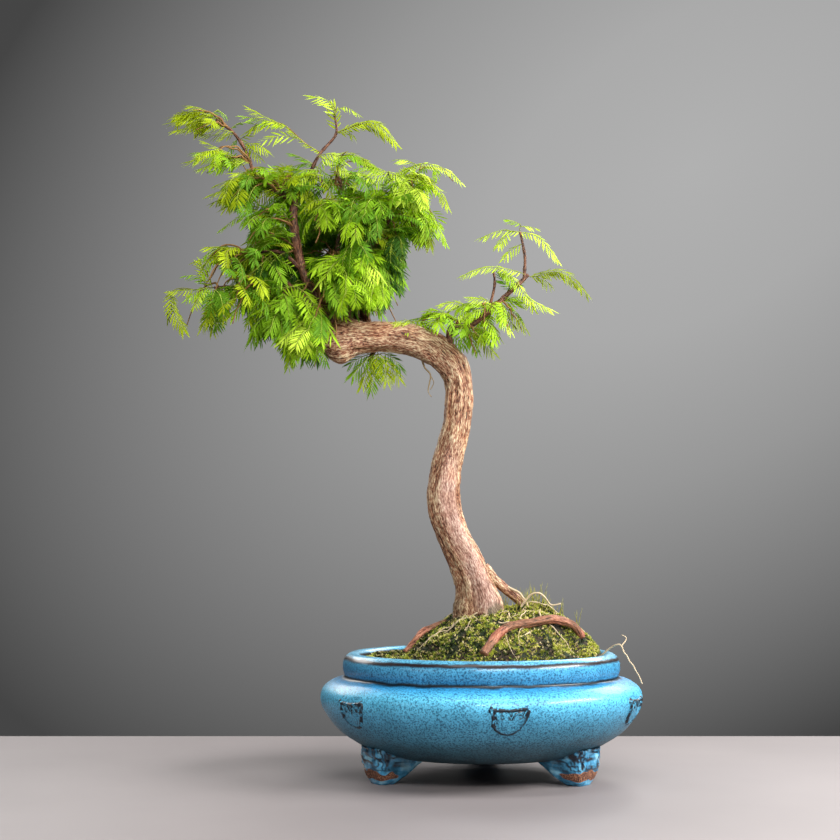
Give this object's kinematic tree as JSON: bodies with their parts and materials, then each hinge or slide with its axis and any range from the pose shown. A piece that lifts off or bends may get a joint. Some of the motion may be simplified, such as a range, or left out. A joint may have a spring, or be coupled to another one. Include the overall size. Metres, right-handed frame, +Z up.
{
  "type": "dawn redwood bonsai",
  "caption": "Bonsai conifer whose trunk bends into a level arm, with a drooping needle crown and a light side branch, in moss in a round glazed pot on feet.",
  "frame": {"origin": "middle of the bounding box in plan, on the plane of the foot soles", "axes": "+Z up; the view in the picture looks along +Y, with the level arm and the main crown towards -X and the pot towards +X"},
  "size_m": [0.4112, 0.2844, 0.6014],
  "materials": {
    "glaze": "glossy turquoise glaze",
    "fired_clay": "matt fired clay, part glazed",
    "moss": "damp soil under moss",
    "bark": "fibrous flaking bark",
    "twig": "young red-brown bark",
    "needles": "soft matt needles"
  },
  "bodies": {
    "root": {"bough_back_left": "twig", "bough_back_right": "twig", "bough_centre": "twig", "bough_left_low": "twig", "bough_left_reach": "twig", "bough_right": "twig", "branch_middle": "twig", "branch_right": "twig", "branch_upper": "twig", "foliage_back_left": "needles", "foliage_back_low": "needles", "foliage_back_right": "needles", "foliage_back_top": "needles", "foliage_branch_crest": "needles", "foliage_branch_low": "needles", "foliage_branch_mid": "needles", "foliage_branch_near": "needles", "foliage_branch_outer": "needles", "foliage_branch_tip": "needles", "foliage_branch_top": "needles", "foliage_branch_under": "needles", "foliage_centre_front": "needles", "foliage_centre_star": "needles", "foliage_core": "needles", "foliage_core_low": "needles", "foliage_front_cascade": "needles", "foliage_hang_low": "needles", "foliage_left_bright": "needles", "foliage_left_drop": "needles", "foliage_left_inner": "needles", "foliage_left_mid": "needles", "foliage_left_reach": "needles", "foliage_left_shelf": "needles", "foliage_left_spike": "needles", "foliage_left_tip": "needles", "foliage_right_crest": "needles", "foliage_right_high": "needles", "foliage_right_low": "needles", "foliage_right_mid": "needles", "foliage_right_shoulder": "needles", "foliage_top_apex": "needles", "foliage_top_feather": "needles", "foliage_top_left": "needles", "foliage_top_right": "needles", "foliage_under_trunk": "needles", "foliage_upper_centre": "needles", "foot_back": "fired_clay", "foot_front_left": "fired_clay", "foot_front_right": "fired_clay", "leader": "twig", "pot": "glaze", "root_buttress": "bark", "root_front": "bark", "root_left": "bark", "soil": "moss", "spur_under": "twig", "trunk_lower": "bark", "trunk_upper": "bark", "twig_left": "twig", "twig_top": "twig"}
  },
  "joints": []
}
